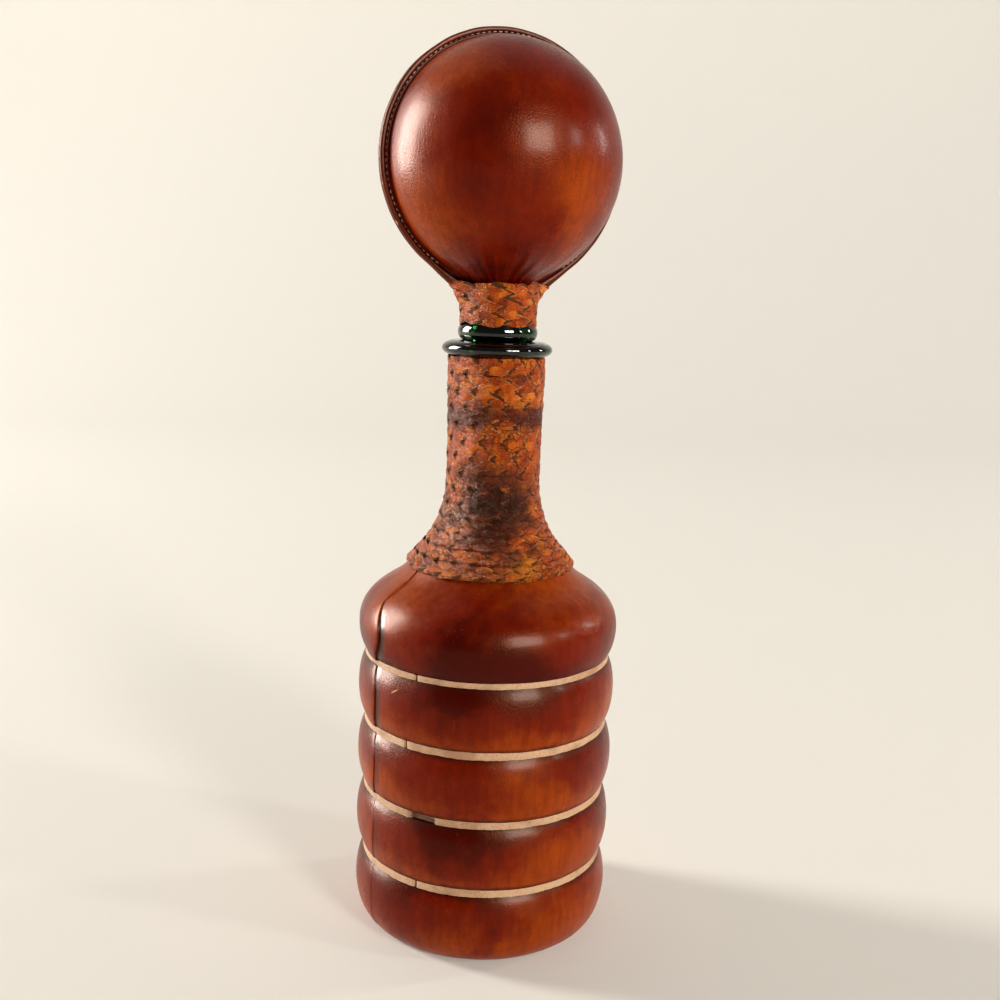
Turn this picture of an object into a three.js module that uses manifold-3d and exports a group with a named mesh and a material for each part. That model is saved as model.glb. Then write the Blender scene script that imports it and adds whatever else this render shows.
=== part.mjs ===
import * as THREE from "three";
import { mergeVertices } from "three/addons/utils/BufferGeometryUtils.js";
import Module from "manifold-3d";

// A leather-wrapped decanter: a ribbed glass bottle in five leather covers with raw-leather strips in its
// grooves and a plaited neck, and a leather-covered ball stopper on a cork.
// Millimetres, +Z up, origin in the middle of the underside of the sole.

// Fits
const glueLine = 0.3; // between pieces that are glued, wrapped or pressed together
const corkClearance = 0.3; // between the cork's top and the bore
const dowelClearance = 0.3; // round the dowel in its two holes
const seatClearance = 0.3; // between the stopper's stem and the lip

// Leather of the bottle
const coverThickness = 1.8;
const soleThickness = 1.8;
const stripWidth = 2.9;
const stripProud = 0.1; // how far a strip stands out of the cut edges beside it
const seamAngle = 191; // degrees from +X to the upright seam of the five covers

// Ribbed body
const bodyRadius = 49.8; // outside of the leather at the belly of a rib
const grooveDepth = 2.8; // from the belly of a rib to its edge at a groove
const ribEdgeAngle = 65; // degrees of arc from a rib's belly to its edge
const lowestGroove = 28.9; // height of the middle of the lowest strip
const ribPitch = 26.5; // from one strip to the next
const footSetIn = 6; // from the belly of the foot to the corner of the base
const footCornerAngle = 80; // degrees of arc from the foot's belly down to that corner
const glassWall = 3.4;
const glassFloor = 5;
const puntRadius = 34;
const puntHeight = 8;
const glassJoint = 18; // height over the shoulder's turn where the body of the glass meets its neck

// Shoulder and neck, measured on the glass
const shoulderRise = 11.1; // from the top strip to the shoulder's belly
const shoulderTurn = new THREE.Vector2(35.8, 15.5); // radius, and height over the belly, of its turn
const shoulderSlope = 58.3; // degrees from upright at the turn
const shoulderFullness = 8.1; // handles of the two curves that meet at the turn
const shoulderEase = 7.2;
const flareEase = 8.8;
const flareFullness = 19;
const flareRise = 40.3; // from the turn to where the neck runs straight
const neckRadius = 15;
const neckStraight = 45.9; // up to the underside of the string ring

// Mouth
const ringRadius = 20.7;
const ringHeight = 6.1;
const waistRadius = 12.6; // between the string ring and the lip
const lipRadius = 14.9;
const lipHeight = 6.2;
const lipLand = 2.6; // width of the flat top of the lip
const boreRadius = 9.3;
const boreDepth = 30; // straight part that takes the cork

// Plaits: flat leather laces wound edge to edge, with a gap between the turns
const neckPlait = { width: 5.3, thickness: 2.6, gap: 0.8, start: 4.4 }; // start: from the shoulder's turn
const stemPlait = { width: 4.5, thickness: 2.3, gap: 0.7, height: 16.4 };
const laceFlat = 0.6; // share of a lace's width that is flat
const plaitStartAngle = 60; // degrees from +X to the lower end of each plait, at the rear
const coverTuck = 8; // how far the shoulder cover runs under the neck plait
const stepsPerTurn = 24;

// Stopper
const ballRadius = 43.6; // outside of the leather
const ballLeather = 1.6;
const stemRadius = 10.4; // of the wood
const flangeWidth = 2.9; // how far the seam stands out of the ball
const flangeLeather = 1.5; // thickness of each of its two layers
const flangeTangent = 50; // degrees under the level where the seam leaves the circle for the stem
const dowelRadius = 4.5;
const dowelInBall = 25;
const dowelInCork = 18;
const corkLength = 26;
const corkTaper = 0.6; // how much smaller its lower end is in radius

// Facets
const segments = 28; // round every turned piece, so that nested pieces share their facets

const degree = Math.PI / 180;
const wasm = await Module();
wasm.setup();

const finishes = {
  glass: { color: 0x0d1f10, roughness: 0.05, metalness: 0 },
  leather: { color: 0x6b2a10, roughness: 0.35, metalness: 0 },
  rawLeather: { color: 0xd8b486, roughness: 0.85, metalness: 0 },
  lace: { color: 0xa35a26, roughness: 0.4, metalness: 0 },
  soleLeather: { color: 0x4a2412, roughness: 0.7, metalness: 0 },
  wood: { color: 0xb98b5a, roughness: 0.7, metalness: 0 },
  cork: { color: 0xc79a66, roughness: 0.9, metalness: 0 },
};

function named(name, geometry, finish) {
  const mesh = new THREE.Mesh(geometry, new THREE.MeshStandardMaterial(finish));
  mesh.name = name;
  return mesh;
}

// Outlines are lists of (radius, height), drawn upwards on the outside of a piece.
const at = (radius, height) => new THREE.Vector2(radius, height);

function ellipseArc(centre, radii, from, to, steps) {
  const turnsBack = to < from;
  const curve = new THREE.EllipseCurve(
    centre.x, centre.y, radii.x, radii.y, from * degree, to * degree, turnsBack,
  );
  return curve.getPoints(steps);
}

// Moves an outline square to itself. A level end keeps its height, so that its cut edge lies flat.
function offsetOutline(outline, distance, levelStart = false, levelEnd = false) {
  const last = outline.length - 1;
  return outline.map((point, i) => {
    const before = outline[Math.max(i - 1, 0)];
    const after = outline[Math.min(i + 1, last)];
    const along = after.clone().sub(before).normalize();
    const normal = at(along.y, -along.x);
    if ((i === 0 && levelStart) || (i === last && levelEnd)) {
      return at(point.x + distance / normal.x, point.y);
    }
    return point.clone().addScaledVector(normal, distance);
  });
}

function turned(outline) {
  return new THREE.LatheGeometry(outline, segments).rotateX(Math.PI / 2);
}

// A ring of leather or glass between an inner and an outer outline, both drawn upwards.
function turnedShell(inner, outer) {
  return turned([inner[0], ...outer, ...inner.slice().reverse()]);
}

function solidOf(geometry) {
  const bare = geometry.clone();
  bare.deleteAttribute("normal");
  bare.deleteAttribute("uv");
  const merged = mergeVertices(bare, 1e-4);
  return new wasm.Manifold(
    new wasm.Mesh({
      numProp: 3,
      vertProperties: merged.attributes.position.array,
      triVerts: new Uint32Array(merged.index.array),
    }),
  );
}

function geometryOf(solid) {
  const mesh = solid.getMesh();
  const geometry = new THREE.BufferGeometry();
  geometry.setAttribute("position", new THREE.BufferAttribute(mesh.vertProperties, 3));
  geometry.setIndex(new THREE.BufferAttribute(mesh.triVerts, 1));
  geometry.computeVertexNormals();
  return geometry;
}

// Heights and radii of the ribbed glass
const glassBelly = bodyRadius - coverThickness - glueLine;
const glassBase = soleThickness + glueLine;
const edgeGap = stripWidth / 2 + glueLine; // from the middle of a strip to the cut edge of a cover
const ribHalf = ribPitch / 2 - edgeGap;
const ribSwell = grooveDepth / (1 - Math.cos(ribEdgeAngle * degree));
const ribBands = ["lower_band", "middle_band", "upper_band"];
const ribCount = ribBands.length + 1; // ribs under the shoulder, the foot included
const grooveHeight = (i) => lowestGroove + i * ribPitch;
const topGroove = grooveHeight(ribCount - 1);
const ribMiddle = (i) => grooveHeight(i) - ribPitch / 2;
const shoulderBelly = topGroove + shoulderRise;
const baseCorner = glassBelly - footSetIn;

// A stretch of a rib of the glass, from one angle to another about its belly.
function ribArc(middle, halfHeight, from, to, steps) {
  const radii = at(ribSwell, halfHeight / Math.sin(ribEdgeAngle * degree));
  return ellipseArc(at(glassBelly - radii.x, middle), radii, from, to, steps);
}

function footCorner() {
  const radii = at(
    footSetIn / (1 - Math.cos(footCornerAngle * degree)),
    (ribMiddle(0) - glassBase) / Math.sin(footCornerAngle * degree),
  );
  return ellipseArc(at(glassBelly - radii.x, ribMiddle(0)), radii, -footCornerAngle, 0, 4);
}

const footGlass = [...footCorner(), ...ribArc(ribMiddle(0), ribHalf, 0, ribEdgeAngle, 2).slice(1)];
const ribGlass = (i) => ribArc(ribMiddle(i), ribHalf, -ribEdgeAngle, ribEdgeAngle, 4);

// The shoulder's curve bends out to the turn, and the flare's curve bends back up into the neck.
const turn = at(shoulderTurn.x, shoulderBelly + shoulderTurn.y);
const slope = at(-Math.sin(shoulderSlope * degree), Math.cos(shoulderSlope * degree));
const shoulderCurve = new THREE.CubicBezierCurve(
  at(glassBelly, shoulderBelly),
  at(glassBelly, shoulderBelly + shoulderFullness),
  turn.clone().addScaledVector(slope, -shoulderEase),
  turn,
);
const neckFoot = at(neckRadius, turn.y + flareRise);
const flareCurve = new THREE.CubicBezierCurve(
  turn,
  turn.clone().addScaledVector(slope, flareEase),
  at(neckRadius, neckFoot.y - flareFullness),
  neckFoot,
);
const ringFoot = neckFoot.y + neckStraight;
const shoulderGlass = [
  ...ribArc(shoulderBelly, shoulderRise - edgeGap, -ribEdgeAngle, 0, 2),
  ...shoulderCurve.getPoints(5).slice(1),
];

// Mouth of the bottle
const ringTop = ringFoot + ringHeight;
const lipTop = ringTop + lipHeight;

function mouthOutline() {
  const ringMiddle = at(neckRadius, ringFoot + ringHeight / 2);
  const lipMiddle = at(waistRadius, ringTop + lipHeight / 2);
  const lipEdge = boreRadius + lipLand;
  return [
    ...ellipseArc(ringMiddle, at(ringRadius - neckRadius, ringHeight / 2), -90, 90, 6),
    at(waistRadius, ringTop),
    ...ellipseArc(lipMiddle, at(lipRadius - waistRadius, lipHeight / 2), -60, 60, 4),
    at(lipEdge, lipTop),
  ];
}

// The hollow under the bottle, from its middle out to where the base lies flat.
function puntOutline(height) {
  const arc = ellipseArc(at(0, height), at(puntRadius, puntHeight), 90, 0, 4);
  return [at(0, height + puntHeight), ...arc.slice(1)];
}

// The glass is made as a body and a neck, which meet under the neck plait.
function glassBottle() {
  const flare = flareCurve.getPoints(7).slice(1);
  const outside = [
    ...puntOutline(glassBase),
    ...footGlass,
    ...Array.from({ length: ribCount - 1 }, (_, i) => ribGlass(i + 1)).flat(),
    ...shoulderGlass,
    ...flare,
    ...mouthOutline(),
  ];
  const corkSeat = lipTop - boreDepth;
  const innerFloor = glassBase + glassFloor;
  const ribInside = [];
  for (let i = 0; i < ribCount; i++) {
    ribInside.push(at(glassBelly - glassWall, ribMiddle(i)));
    ribInside.push(at(glassBelly - grooveDepth - glassWall, grooveHeight(i)));
  }
  const inside = [
    ...puntOutline(innerFloor),
    at(baseCorner - glassWall, innerFloor + glassWall),
    ...ribInside,
    ...offsetOutline([...shoulderCurve.getPoints(4), ...flareCurve.getPoints(5).slice(1)], -glassWall),
    at(neckRadius - glassWall, corkSeat - glassWall),
    at(boreRadius, corkSeat),
    at(boreRadius, lipTop),
  ];
  const glass = solidOf(turned([...outside, ...inside.reverse()]));
  const joint = turn.y + glassJoint;
  const body = glass.trimByPlane([0, 0, -1], -joint);
  const neck = glass.trimByPlane([0, 0, 1], joint + glueLine);
  return [
    named("glass_body", geometryOf(body), finishes.glass),
    named("glass_neck", geometryOf(neck), finishes.glass),
  ];
}

function baseSole() {
  const radius = baseCorner - glueLine;
  return named(
    "base_sole",
    turned([at(0, 0), at(radius, 0), at(radius, soleThickness), at(0, soleThickness)]),
    finishes.soleLeather,
  );
}

// A cover is glued over a stretch of glass and closed by an upright seam, which splits it from edge to edge.
function leatherCover(name, glass, fine, levelStart, levelEnd) {
  const inner = offsetOutline(glass, glueLine, levelStart, levelEnd);
  const outer = offsetOutline(fine, glueLine + coverThickness, levelStart, levelEnd);
  const height = lipTop;
  const seam = new THREE.BoxGeometry(2 * bodyRadius, glueLine, height)
    .translate(bodyRadius, 0, height / 2)
    .rotateZ(seamAngle * degree);
  const cover = solidOf(turnedShell(inner, outer)).subtract(solidOf(seam));
  return named(name, geometryOf(cover), finishes.leather);
}

function bodyCovers() {
  const covers = [leatherCover("foot_band", footGlass, footGlass, false, true)];
  ribBands.forEach((name, i) => {
    const fine = ribArc(ribMiddle(i + 1), ribHalf, -ribEdgeAngle, ribEdgeAngle, 6);
    covers.push(leatherCover(name, ribGlass(i + 1), fine, true, true));
  });
  const reach = (neckPlait.start + coverTuck) / flareCurve.getLength();
  const tucked = [1, 2, 3].map((third) => flareCurve.getPointAt((reach * third) / 3));
  const shoulder = [...shoulderGlass, ...tucked];
  covers.push(leatherCover("shoulder_cover", shoulder, shoulder, true, false));
  return covers;
}

// Raw-leather strips lie on the glass of the grooves, between the cut edges of the covers.
function grooveStrips() {
  const edgeNormal = offsetOutline(ribGlass(1), 1, true, true)[0].x - ribGlass(1)[0].x;
  const floor = glassBelly - grooveDepth;
  const inner = floor + glueLine;
  const outer = floor + (glueLine + coverThickness) * edgeNormal + stripProud;
  return Array.from({ length: ribCount }, (_, i) => {
    const low = grooveHeight(i) - stripWidth / 2;
    const high = grooveHeight(i) + stripWidth / 2;
    const strip = turnedShell([at(inner, low), at(inner, high)], [at(outer, low), at(outer, high)]);
    return named(`groove_strip_${i + 1}`, strip, finishes.rawLeather);
  });
}

// A flat lace wound along an outline: one unbroken tube of six sides, whose ends run straight for its width.
function woundLace(name, route, turns, lace) {
  const steps = Math.round(turns * stepsPerTurn);
  const edge = lace.width / 2;
  const flat = edge * laceFlat;
  const face = lace.thickness / 2;
  const section = [
    at(edge, 0),
    at(flat, face),
    at(-flat, face),
    at(-edge, 0),
    at(-flat, -face),
    at(flat, -face),
  ];
  const chordLift = 1 / Math.cos(Math.PI / stepsPerTurn); // keeps the flat stretches clear of what they wrap
  const rings = [];
  const addRing = (step, run) => {
    const angle = plaitStartAngle * degree + (step / stepsPerTurn) * 2 * Math.PI;
    const { centre, along } = route(step / steps);
    const normal = at(along.y, -along.x);
    const across = new THREE.Vector3(Math.cos(angle), Math.sin(angle), 0);
    const onward = new THREE.Vector3(-Math.sin(angle), Math.cos(angle), 0);
    rings.push(
      section.map((corner) => {
        const place = centre.clone().addScaledVector(along, corner.x).addScaledVector(normal, corner.y);
        return across
          .clone()
          .multiplyScalar(place.x * chordLift)
          .addScaledVector(onward, run)
          .setZ(place.y);
      }),
    );
  };
  addRing(0, -lace.width);
  for (let step = 0; step <= steps; step++) addRing(step, 0);
  addRing(steps, lace.width);
  console.log(`${name}: least gap between turns ${leastGap(rings).toFixed(2)} mm`);
  return named(name, tubeOf(rings), finishes.lace);
}

// The least distance between points of the tube that lie half a turn or more apart along it.
function leastGap(rings) {
  let least = Infinity;
  rings.forEach((ring, i) => {
    rings.slice(i + stepsPerTurn / 2).forEach((other) => {
      ring.forEach((a) => other.forEach((b) => (least = Math.min(least, a.distanceTo(b)))));
    });
  });
  return least;
}

function tubeOf(rings) {
  const sides = rings[0].length;
  const index = [];
  for (let i = 0; i + 1 < rings.length; i++) {
    for (let k = 0; k < sides; k++) {
      const a = i * sides + k;
      const b = i * sides + ((k + 1) % sides);
      index.push(a, b, a + sides, b, b + sides, a + sides);
    }
  }
  const end = (rings.length - 1) * sides;
  for (let k = 1; k + 1 < sides; k++) {
    index.push(0, k + 1, k, end, end + k, end + k + 1);
  }
  const geometry = new THREE.BufferGeometry().setFromPoints(rings.flat());
  geometry.setIndex(index);
  geometry.computeVertexNormals();
  return geometry;
}

// The neck plait starts on the tucked cover, steps down to the glass and climbs to the string ring.
function neckLace() {
  const lace = neckPlait;
  const flareLength = flareCurve.getLength();
  const length = flareLength + neckStraight - glueLine - lace.start - lace.width;
  const onGlass = glueLine + lace.thickness / 2;
  const stepDown = lace.start + coverTuck + lace.width / 2;
  const route = (share) => {
    const run = lace.start + lace.width / 2 + share * length;
    const onFlare = Math.min(run / flareLength, 1);
    const along = flareCurve.getTangentAt(onFlare);
    const centre = flareCurve.getPointAt(onFlare);
    centre.y += Math.max(run - flareLength, 0);
    const overCover = 1 - THREE.MathUtils.smoothstep(run, stepDown, stepDown + lace.width);
    const lift = onGlass + overCover * (coverThickness + glueLine);
    return { centre: centre.addScaledVector(at(along.y, -along.x), lift), along };
  };
  const turns = Math.floor(length / (lace.width + lace.gap)); // whole turns, so both ends lie at the rear
  return woundLace("neck_plait", route, turns, lace);
}

// The stopper, in its own frame: height 0 is the foot of its stem
const stemCoverRadius = stemRadius + glueLine + ballLeather;
const stemLaceRadius = stemCoverRadius + glueLine + stemPlait.thickness;
const laceTop = glueLine + stemPlait.height;
const ballMiddle = laceTop + glueLine + Math.sqrt(ballRadius ** 2 - stemLaceRadius ** 2);

// Outline of the ball on its stem, grown from the wood by a wall, from the foot of the stem to the top.
function ballOutline(wall, foot) {
  const coreRadius = ballRadius - ballLeather - glueLine;
  const radius = coreRadius + wall;
  const stem = stemRadius + wall;
  const join = Math.acos(stem / radius) / degree;
  return [
    at(0, foot),
    at(stem, foot),
    ...ellipseArc(at(0, ballMiddle), at(radius, radius), -join, 90, 12).slice(0, -1),
    at(0, ballMiddle + radius),
  ];
}

function stopperCore() {
  const hole = dowelRadius + dowelClearance;
  const holeTop = dowelInBall + dowelClearance;
  const outline = [at(0, holeTop), at(hole, holeTop), at(hole, 0), ...ballOutline(0, 0).slice(1)];
  return named("stopper_core", turned(outline), finishes.wood);
}

function stopperDowel() {
  const low = -glueLine - dowelInCork;
  const dowel = [at(0, low), at(dowelRadius, low), at(dowelRadius, dowelInBall), at(0, dowelInBall)];
  return named("stopper_dowel", turned(dowel), finishes.wood);
}

function stopperCork() {
  const top = -glueLine;
  const low = top - corkLength;
  const radius = boreRadius - corkClearance;
  const hole = dowelRadius + dowelClearance;
  const holeFoot = top - dowelInCork - dowelClearance;
  const outline = [
    at(0, low),
    at(radius - corkTaper, low),
    at(radius, top),
    at(hole, top),
    at(hole, holeFoot),
    at(0, holeFoot),
  ];
  return named("stopper_cork", turned(outline), finishes.cork);
}

// The seam flange is a circle round the ball that runs straight down to the stem on both sides.
function flangeOutline() {
  const radius = ballRadius + flangeWidth;
  const leave = -flangeTangent * degree;
  const foot = laceTop + glueLine;
  const leaveHeight = ballMiddle + radius * Math.sin(leave);
  const footRadius = radius * Math.cos(leave) - (leaveHeight - foot) * Math.tan(flangeTangent * degree);
  const shape = new THREE.Shape();
  shape.moveTo(-footRadius, foot);
  shape.lineTo(footRadius, foot);
  shape.absarc(0, ballMiddle, radius, leave, Math.PI - leave, false);
  return shape;
}

// Half of the ball's leather, formed over the wood, with a tail under the plait and one flange layer.
function ballCover(name, side) {
  const tail = glueLine;
  const outside = solidOf(turned(ballOutline(glueLine + ballLeather, tail)));
  const inside = solidOf(turned(ballOutline(glueLine, -seatClearance)));
  const flange = new THREE.ExtrudeGeometry(flangeOutline(), {
    depth: flangeLeather * 2 + glueLine,
    bevelEnabled: false,
    curveSegments: 16,
  });
  flange.rotateX(Math.PI / 2).translate(0, flangeLeather + glueLine / 2, 0);
  const reach = 2 * (ballRadius + flangeWidth);
  const half = new THREE.BoxGeometry(2 * reach, reach, 2 * reach)
    .translate(0, (side * (reach + glueLine)) / 2, ballMiddle);
  const cover = outside.add(solidOf(flange)).subtract(inside).intersect(solidOf(half));
  return named(name, geometryOf(cover), finishes.leather);
}

function stemLace() {
  const lace = stemPlait;
  const length = lace.height - lace.width;
  const radius = stemCoverRadius + glueLine + lace.thickness / 2;
  const route = (share) => ({
    centre: at(radius, glueLine + lace.width / 2 + share * length),
    along: at(0, 1),
  });
  return woundLace("stem_plait", route, length / (lace.width + lace.gap), lace);
}

const bottle = new THREE.Group();
bottle.add(...glassBottle(), baseSole(), ...bodyCovers(), ...grooveStrips(), neckLace());

const stopper = new THREE.Group();
stopper.add(stopperCore(), stopperDowel(), stopperCork());
stopper.add(ballCover("ball_cover_front", -1), ballCover("ball_cover_rear", 1), stemLace());
stopper.position.z = lipTop + seatClearance;

const decanter = new THREE.Group();
decanter.add(bottle, stopper);
export default decanter;
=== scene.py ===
import math
from bisect import bisect_right

import bmesh
import bpy
from mathutils import Matrix, Vector, noise


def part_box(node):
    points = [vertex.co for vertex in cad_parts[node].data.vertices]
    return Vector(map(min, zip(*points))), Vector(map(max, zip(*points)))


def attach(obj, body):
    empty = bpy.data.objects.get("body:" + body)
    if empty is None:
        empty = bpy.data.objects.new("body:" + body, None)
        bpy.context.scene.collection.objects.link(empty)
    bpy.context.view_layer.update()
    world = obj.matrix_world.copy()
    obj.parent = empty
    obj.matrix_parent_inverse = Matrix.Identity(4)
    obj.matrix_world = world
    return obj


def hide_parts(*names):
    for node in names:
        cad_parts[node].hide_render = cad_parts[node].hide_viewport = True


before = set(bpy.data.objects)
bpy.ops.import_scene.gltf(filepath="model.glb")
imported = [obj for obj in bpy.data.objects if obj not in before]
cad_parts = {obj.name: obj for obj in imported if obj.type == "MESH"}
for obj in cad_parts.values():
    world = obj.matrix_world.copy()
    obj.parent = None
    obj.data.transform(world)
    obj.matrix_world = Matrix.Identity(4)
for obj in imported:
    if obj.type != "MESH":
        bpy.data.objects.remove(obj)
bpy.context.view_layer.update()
scene = bpy.context.scene
scene.view_settings.view_transform = "Standard"
mm = 0.001
print("frame loaded,", len(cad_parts), "solids")

# camera: a little to the left of the ball's front half, looking slightly down
shot = {
    "turn": -20.0,  # degrees about the bottle, from the front
    "distance": 447.6,  # mm
    "height": 248.4,
    "pitch": 10.35,  # degrees
    "yaw": 0.389,
    "roll": 1.98,
    "lens": 42.77,
}


def placeCamera():
    pitch = math.radians(shot["pitch"])
    yaw = math.radians(shot["yaw"])
    roll = math.radians(shot["roll"])
    level = math.cos(pitch)
    forward = Vector((math.sin(yaw) * level, math.cos(yaw) * level, -math.sin(pitch)))
    right = Vector((math.cos(yaw), -math.sin(yaw), 0))
    up = right.cross(forward)
    across = right * math.cos(roll) + up * math.sin(roll)
    upright = up * math.cos(roll) - right * math.sin(roll)
    pose = Matrix((across, upright, -forward)).transposed().to_4x4()
    pose.translation = (0, -shot["distance"] * mm, shot["height"] * mm)
    data = bpy.data.cameras.new("camera")
    data.lens = shot["lens"]
    data.sensor_width = 36
    data.clip_start = 0.01
    camera = bpy.data.objects.new("camera", data)
    camera.matrix_world = Matrix.Rotation(math.radians(shot["turn"]), 4, "Z") @ pose
    scene.collection.objects.link(camera)
    scene.camera = camera


placeCamera()
print("camera placed")


# small helpers for node trees, which work in the tree that was started last
bench = {"tree": None}


def tone(red, green, blue):
    return (red, green, blue, 1.0)


def feed(socket, value):
    if isinstance(value, bpy.types.NodeSocket):
        bench["tree"].links.new(value, socket)
    else:
        socket.default_value = value


def put(kind, feeds=None, **settings):
    node = bench["tree"].nodes.new("ShaderNode" + kind)
    for name, value in settings.items():
        setattr(node, name, value)
    for name, value in (feeds or {}).items():
        feed(node.inputs[name], value)
    return node


def blend(factor, first, second):
    return put("Mix", {0: factor, 6: first, 7: second}, data_type="RGBA").outputs[2]


def calc(how, first, second=0.0):
    return put("Math", {0: first, 1: second}, operation=how).outputs[0]


def plus(first, second):
    return calc("ADD", first, second)


def minus(first, second):
    return calc("SUBTRACT", first, second)


def times(first, second):
    return calc("MULTIPLY", first, second)


def larger(first, second):
    return calc("MAXIMUM", first, second)


def spread(value, low, high, first=0.0, last=1.0):
    feeds = {"Value": value, "From Min": low, "From Max": high, "To Min": first, "To Max": last}
    return put("MapRange", feeds, interpolation_type="SMOOTHSTEP").outputs["Result"]


def cloud(place, scale, detail=4.0, rough=0.55, twist=0.0):
    feeds = {"Vector": place, "Scale": scale, "Detail": detail, "Roughness": rough, "Distortion": twist}
    return put("TexNoise", feeds).outputs["Fac"]


def cells(place, scale, feature="F1"):
    return put("TexVoronoi", {"Vector": place, "Scale": scale}, feature=feature).outputs["Distance"]


def stretched(place, scale):
    return put("Mapping", {"Vector": place, "Scale": scale}).outputs["Vector"]


def swayed(place, sway, amount):
    feeds = {0: sway.outputs["Color"], 1: amount, 2: place}
    return put("VectorMath", feeds, operation="MULTIPLY_ADD").outputs[0]


def nearPoint(place, point, inner, outer):
    feeds = {0: place, 1: [value * mm for value in point]}
    gap = put("VectorMath", feeds, operation="DISTANCE").outputs["Value"]
    return spread(gap, inner * mm, outer * mm, 1.0, 0.0)


def attribute(name):
    return put("Attribute", attribute_name=name).outputs["Fac"]


def startGroup(name, inputs, outputs):
    kinds = {"vector": "NodeSocketVector", "value": "NodeSocketFloat", "colour": "NodeSocketColor"}
    tree = bpy.data.node_groups.new(name, "ShaderNodeTree")
    for way, sockets in (("INPUT", inputs), ("OUTPUT", outputs)):
        for label, kind in sockets.items():
            tree.interface.new_socket(name=label, in_out=way, socket_type=kinds[kind])
    bench["tree"] = tree
    return tree, tree.nodes.new("NodeGroupInput").outputs, tree.nodes.new("NodeGroupOutput").inputs


def useGroup(group, feeds):
    return put("Group", feeds, node_tree=group).outputs


def startMaterial(name):
    material = bpy.data.materials.new(name)
    material.use_nodes = True
    bench["tree"] = material.node_tree
    return material, put("TexCoord").outputs["Object"]


def dress(colour, dull, relief=None, bump=(0.0, 0.0), extra=None):
    shader = bench["tree"].nodes["Principled BSDF"]
    feeds = {"Base Color": colour, "Roughness": dull, **(extra or {})}
    if relief is not None:
        strength, distance = bump
        raised = {"Height": relief, "Strength": strength, "Distance": distance}
        feeds["Normal"] = put("Bump", raised).outputs["Normal"]
    for name, value in feeds.items():
        feed(shader.inputs[name], value)
    return shader


# shared effects
def makeTannedHide():
    inputs = {
        "Place": "vector", "Dark": "colour", "Middle": "colour", "Light": "colour",
        "Patches": "value", "Mottle": "value", "Lift": "value",
    }
    tree, given, out = startGroup("tannedHide", inputs, {"Colour": "colour"})
    broad = cloud(given["Place"], given["Patches"], 3.0, 0.5, 0.6)
    fine = cloud(given["Place"], times(given["Patches"], 7.0), 6.0, 0.62)
    depth = plus(times(broad, 0.76), times(fine, 0.24))
    depth = times(minus(depth, 0.5), given["Mottle"])
    depth = plus(plus(depth, 0.5), given["Lift"])
    low = blend(spread(depth, 0.34, 0.52), given["Dark"], given["Middle"])
    feed(out["Colour"], blend(spread(depth, 0.5, 0.7), low, given["Light"]))
    return tree


def makeHideGrain():
    inputs = {"Place": "vector", "Grain": "value", "Creases": "value"}
    tree, given, out = startGroup("hideGrain", inputs, {"Height": "value", "Pits": "value"})
    wobble = put("TexNoise", {"Vector": given["Place"], "Scale": given["Creases"], "Detail": 3.0})
    shifted = swayed(given["Place"], wobble, (0.0012, 0.0012, 0.0012))
    pebble = spread(cells(shifted, given["Grain"], "DISTANCE_TO_EDGE"), 0.0, 0.28)
    fold = spread(calc("ABSOLUTE", minus(wobble.outputs["Fac"], 0.5)), 0.0, 0.06)
    powder = cloud(given["Place"], times(given["Grain"], 2.3), 3.0)
    height = plus(times(pebble, 0.6), times(fold, 0.14))
    feed(out["Height"], plus(height, times(powder, 0.25)))
    feed(out["Pits"], minus(1.0, pebble))
    return tree


# colours the cut edges; on the covers this also paints the shade in the grooves beside the strips
def makeCutEdgeAndShade():
    inputs = {"Colour": "colour", "Edge": "value", "Edge Colour": "colour", "Place": "vector"}
    tree, given, out = startGroup("cutEdgeAndShade", inputs, {"Colour": "colour"})
    ragged = times(minus(cloud(given["Place"], 240.0, 4.0), 0.5), 0.5)
    mask = spread(plus(given["Edge"], ragged), 0.25, 0.95)
    feed(out["Colour"], blend(mask, given["Colour"], given["Edge Colour"]))
    return tree


def makeScuffs():
    tree, given, out = startGroup("scuffs", {"Place": "vector", "Amount": "value"}, {"Mask": "value"})
    along = cloud(stretched(given["Place"], (900, 900, 110)), 1.0, 2.0)
    aslant = cloud(stretched(given["Place"], (150, 700, 1100)), 1.0, 2.0)
    where = spread(cloud(given["Place"], 55.0, 2.0), 0.52, 0.68)
    mark = larger(spread(along, 0.66, 0.74), spread(aslant, 0.68, 0.75))
    feed(out["Mask"], times(times(mark, where), given["Amount"]))
    return tree


tannedHide = makeTannedHide()
hideGrain = makeHideGrain()
cutEdgeAndShade = makeCutEdgeAndShade()
scuffs = makeScuffs()


def hideColour(place, finish, lift):
    feeds = {name.capitalize(): finish[name] for name in ("dark", "middle", "light", "patches", "mottle")}
    return useGroup(tannedHide, {"Place": place, "Lift": lift, **feeds})["Colour"]


def grainOf(place, finish):
    return useGroup(hideGrain, {"Place": place, "Grain": finish["grain"], "Creases": finish["creases"]})


def edgeWearAndShade(place, colour, edgeColour):
    feeds = {"Colour": colour, "Edge": attribute("edge"), "Edge Colour": edgeColour, "Place": place}
    return useGroup(cutEdgeAndShade, feeds)["Colour"]


print("shared effects made")


# leather of the covers and of the ball
def scratchAlong(first, last, size, count):
    ends = Vector(first), Vector(last)
    shares = [i / (count - 1) for i in range(count)]
    return [(ends[0].lerp(ends[1], t), size * (0.6 + 0.4 * math.sin(math.pi * t))) for t in shares]


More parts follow.
